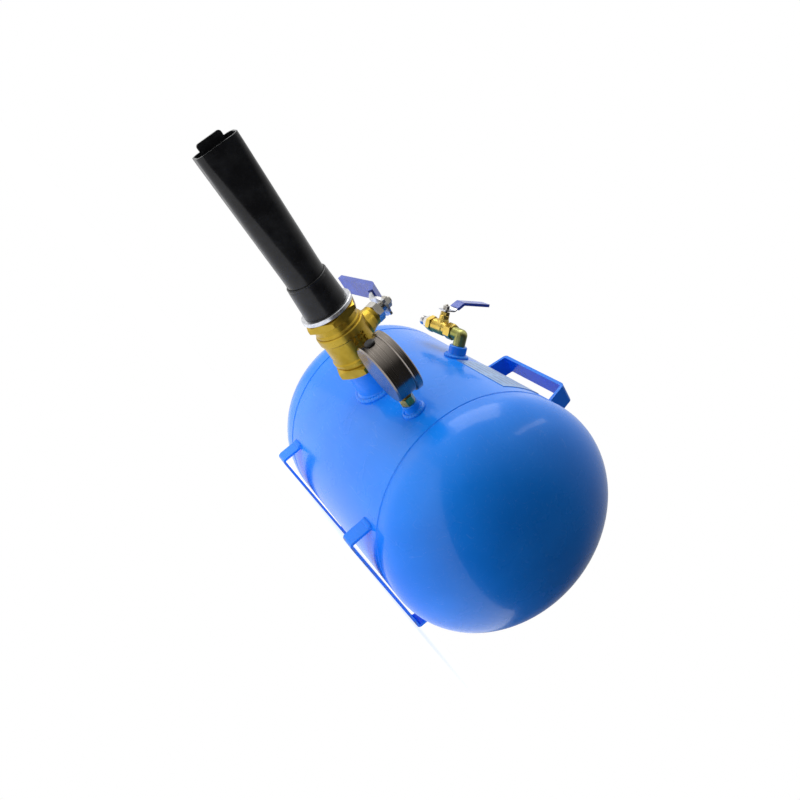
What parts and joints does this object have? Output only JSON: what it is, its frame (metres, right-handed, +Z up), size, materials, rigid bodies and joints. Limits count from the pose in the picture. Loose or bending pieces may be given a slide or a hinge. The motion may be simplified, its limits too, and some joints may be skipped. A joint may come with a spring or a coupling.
{
  "type": "portable compressed-air receiver tank",
  "caption": "Portable domed air receiver tank on strap feet, with carrying handle, lever ball valve and flattened outlet barrel, pressure gauge and small filling valve.",
  "frame": {"origin": "on the floor under the middle of the vessel, midway between the feet", "axes": "+Z up, Y along the vessel, -X the way the outlet barrel points"},
  "size_m": [0.5702, 0.444, 0.3124],
  "materials": {
    "vessel_paint": "glossy blue powder coat",
    "plate_aluminium": "satin, blank",
    "valve_brass": "cast, dull",
    "ball_chrome": "polished",
    "seat_white": "waxy",
    "stem_steel": "plated",
    "lever_zinc": "zinc plated",
    "grip_vinyl": "dipped vinyl",
    "barrel_black": "satin black",
    "gauge_stainless": "brushed stainless",
    "gauge_glass": "clear",
    "dial_white": "printed scale",
    "needle_black": "matt",
    "gauge_brass": "machined",
    "screw_steel": "machined",
    "plug_rubber": "matt",
    "elbow_zinc": "yellow zinc passivate",
    "small_valve_brass": "machined",
    "nipple_steel": "plated"
  },
  "bodies": {
    "vessel": {"tank_shell": "vessel_paint", "rear_head": "vessel_paint", "front_head": "vessel_paint", "front_girth_weld": "vessel_paint", "rear_girth_weld": "vessel_paint", "front_foot": "vessel_paint", "rear_foot": "vessel_paint", "foot_welds": "vessel_paint", "carry_handle": "vessel_paint", "handle_welds": "vessel_paint", "outlet_stub": "vessel_paint", "outlet_weld": "vessel_paint", "gauge_weld": "vessel_paint", "fill_weld": "vessel_paint", "gauge_bung": "vessel_paint", "fill_bung": "vessel_paint", "rating_plate": "plate_aluminium", "valve_body": "valve_brass", "valve_cap": "valve_brass", "inner_seat": "seat_white", "outer_seat": "seat_white", "stem_packing": "seat_white", "fill_inner_seat": "seat_white", "fill_outer_seat": "seat_white", "gland_nut": "stem_steel", "lock_ring": "lever_zinc", "barrel_sleeve": "barrel_black", "barrel_tube": "barrel_black", "barrel_lip": "barrel_black", "gauge_case": "gauge_stainless", "gauge_bezel": "gauge_stainless", "gauge_lens": "gauge_glass", "gauge_dial": "dial_white", "gauge_socket": "gauge_brass", "gauge_movement": "gauge_brass", "bourdon_tube": "gauge_brass", "dial_screws": "screw_steel", "gauge_plug": "plug_rubber", "fill_elbow": "elbow_zinc", "fill_body": "small_valve_brass", "fill_cap": "small_valve_brass", "fill_gland_nut": "small_valve_brass", "fill_nipple": "nipple_steel"},
    "main_lever": {"valve_stem": "stem_steel", "valve_ball": "ball_chrome", "valve_lever": "lever_zinc", "lever_grip": "grip_vinyl", "lever_washer": "stem_steel", "lever_nut": "stem_steel"},
    "fill_lever_body": {"fill_stem": "stem_steel", "fill_ball": "ball_chrome", "fill_lever": "lever_zinc", "fill_grip": "grip_vinyl", "fill_lever_nut": "stem_steel"},
    "needle": {"gauge_needle": "needle_black"}
  },
  "joints": [
    {"name": "main_lever_turn", "type": "hinge", "parent": "vessel", "child": "main_lever", "pos_m": [-0.198, 0, 0.137], "axis": [0, 0.2079, 0.9781], "range_deg": [0, 90]},
    {"name": "fill_lever_turn", "type": "hinge", "parent": "vessel", "child": "fill_lever_body", "pos_m": [-0.11539, 0.03398, 0.24392], "axis": [-0.7071, 0, 0.7071], "range_deg": [0, 90]},
    {"name": "gauge_needle_turn", "type": "hinge", "parent": "vessel", "child": "needle", "pos_m": [-0.1894, -0.085, 0.137], "axis": [0, 0, -1], "range_deg": [0, 270]}
  ]
}
